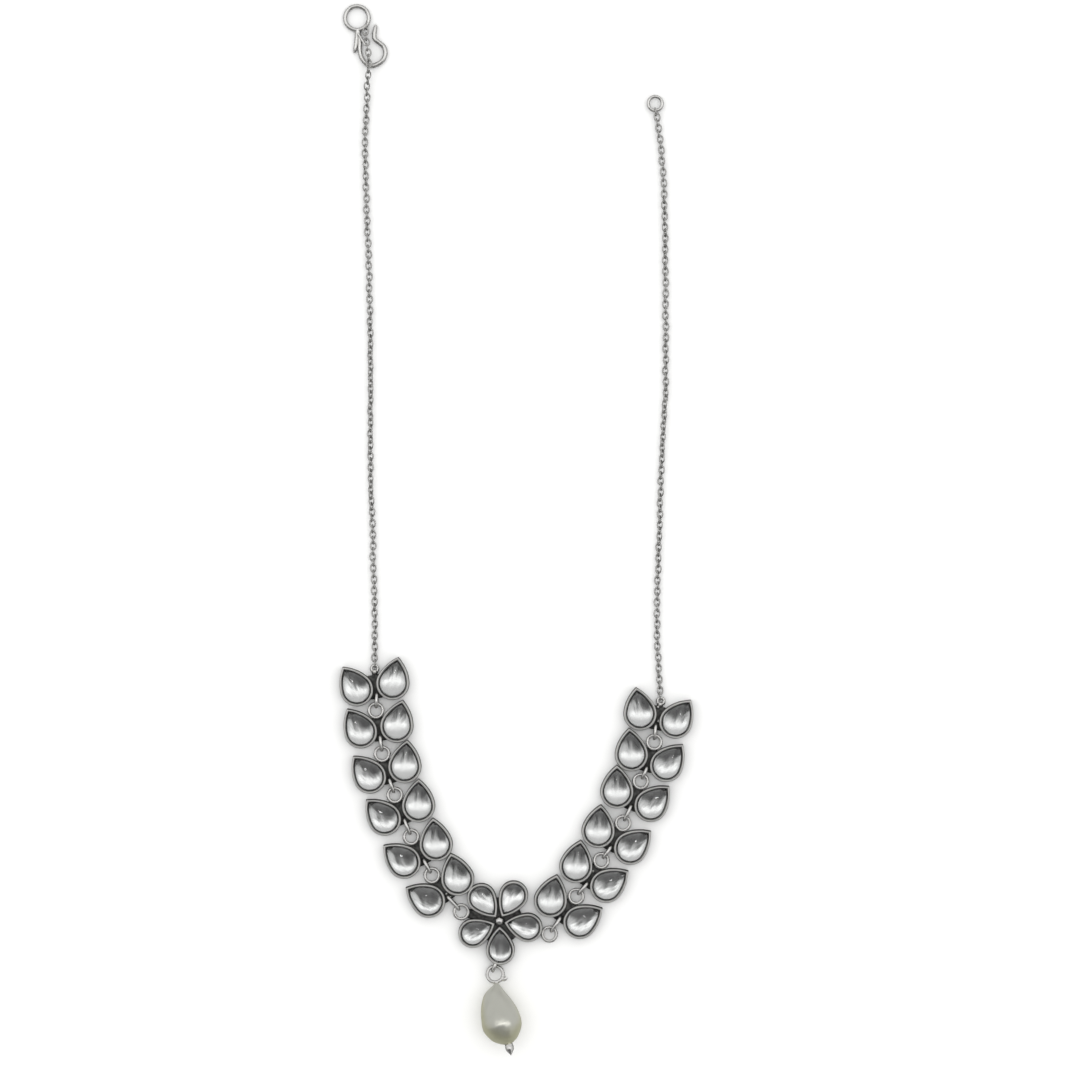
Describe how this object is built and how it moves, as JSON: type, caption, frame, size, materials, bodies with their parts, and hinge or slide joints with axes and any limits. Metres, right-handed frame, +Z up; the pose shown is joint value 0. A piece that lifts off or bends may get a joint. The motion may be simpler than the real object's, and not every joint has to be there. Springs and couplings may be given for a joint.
{
  "type": "choker necklace",
  "caption": "Choker of oxidised silver with paired pear-shaped clear stones, a stone flower and a pearl drop, on fine chains with an S-hook clasp.",
  "frame": {"origin": "middle of the flower's flat back, on the surface that the necklace lies on", "axes": "+Y from the flower towards the clasp, +Z up out of the necklace's front, +X to the right seen from the front"},
  "size_m": [0.0703, 0.209, 0.0081],
  "materials": {
    "oxidised_silver": "oxidised cast silver, black in the recesses and polished on the raised rims",
    "bright_silver": "polished silver wire",
    "clear_stone": "clear pear-shaped glass with a silvered back",
    "pearl": "cream drop pearl with a soft lustre"
  },
  "bodies": {
    "root": {"left_link_1": "oxidised_silver", "left_link_2": "oxidised_silver", "left_link_3": "oxidised_silver", "left_link_4": "oxidised_silver", "left_link_5": "oxidised_silver", "left_link_6": "oxidised_silver", "right_link_1": "oxidised_silver", "right_link_2": "oxidised_silver", "right_link_3": "oxidised_silver", "right_link_4": "oxidised_silver", "right_link_5": "oxidised_silver", "right_link_6": "oxidised_silver", "flower_setting": "oxidised_silver", "left_stone_1_outer": "clear_stone", "left_stone_1_inner": "clear_stone", "left_stone_2_outer": "clear_stone", "left_stone_2_inner": "clear_stone", "left_stone_3_outer": "clear_stone", "left_stone_3_inner": "clear_stone", "left_stone_4_outer": "clear_stone", "left_stone_4_inner": "clear_stone", "left_stone_5_outer": "clear_stone", "left_stone_5_inner": "clear_stone", "left_stone_6_outer": "clear_stone", "left_stone_6_inner": "clear_stone", "right_stone_1_outer": "clear_stone", "right_stone_1_inner": "clear_stone", "right_stone_2_outer": "clear_stone", "right_stone_2_inner": "clear_stone", "right_stone_3_outer": "clear_stone", "right_stone_3_inner": "clear_stone", "right_stone_4_outer": "clear_stone", "right_stone_4_inner": "clear_stone", "right_stone_5_outer": "clear_stone", "right_stone_5_inner": "clear_stone", "right_stone_6_outer": "clear_stone", "right_stone_6_inner": "clear_stone", "petal_stone_upper_left": "clear_stone", "petal_stone_upper_right": "clear_stone", "petal_stone_right": "clear_stone", "petal_stone_bottom": "clear_stone", "petal_stone_left": "clear_stone", "pearl": "pearl", "pearl_pin": "bright_silver", "chain_left": "bright_silver", "chain_right": "bright_silver", "s_hook": "bright_silver", "end_ring": "bright_silver"}
  },
  "joints": []
}
